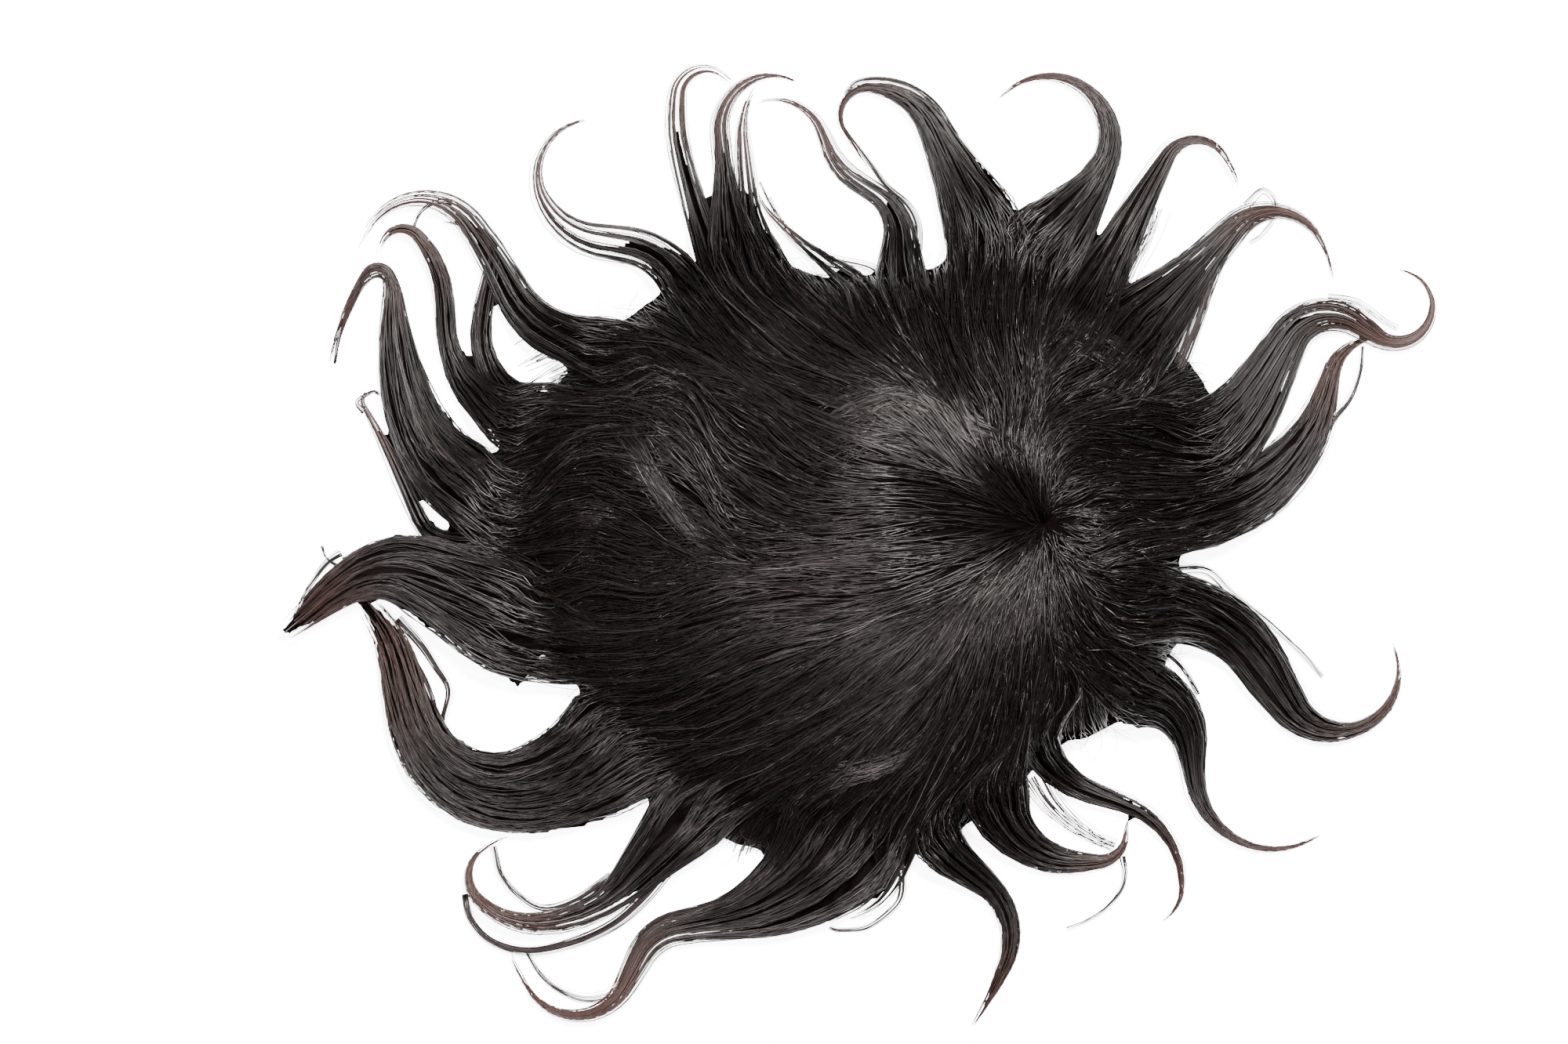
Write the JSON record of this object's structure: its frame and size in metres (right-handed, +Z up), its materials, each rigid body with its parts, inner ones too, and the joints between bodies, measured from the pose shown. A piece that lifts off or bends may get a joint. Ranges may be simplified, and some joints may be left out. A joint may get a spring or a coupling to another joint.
{
  "type": "toupee hairpiece",
  "caption": "Domed base cap carrying dense dark hair that radiates from a crown whorl, with curled locks spreading out flat all round its hem.",
  "frame": {"origin": "on the table under the middle of the whole piece as it lies", "axes": "+Z up from the table, -X towards the front hairline, +X towards the back of the head, +Y towards the wearer's right"},
  "size_m": [0.4582, 0.3818, 0.0519],
  "materials": {
    "base": "matte fine net",
    "hair": "satin near-black brown hair"
  },
  "bodies": {
    "root": {"base_cap": "base", "crown_hair": "hair", "back_hair": "hair", "right_hair": "hair", "front_hair": "hair", "left_hair": "hair"}
  },
  "joints": []
}
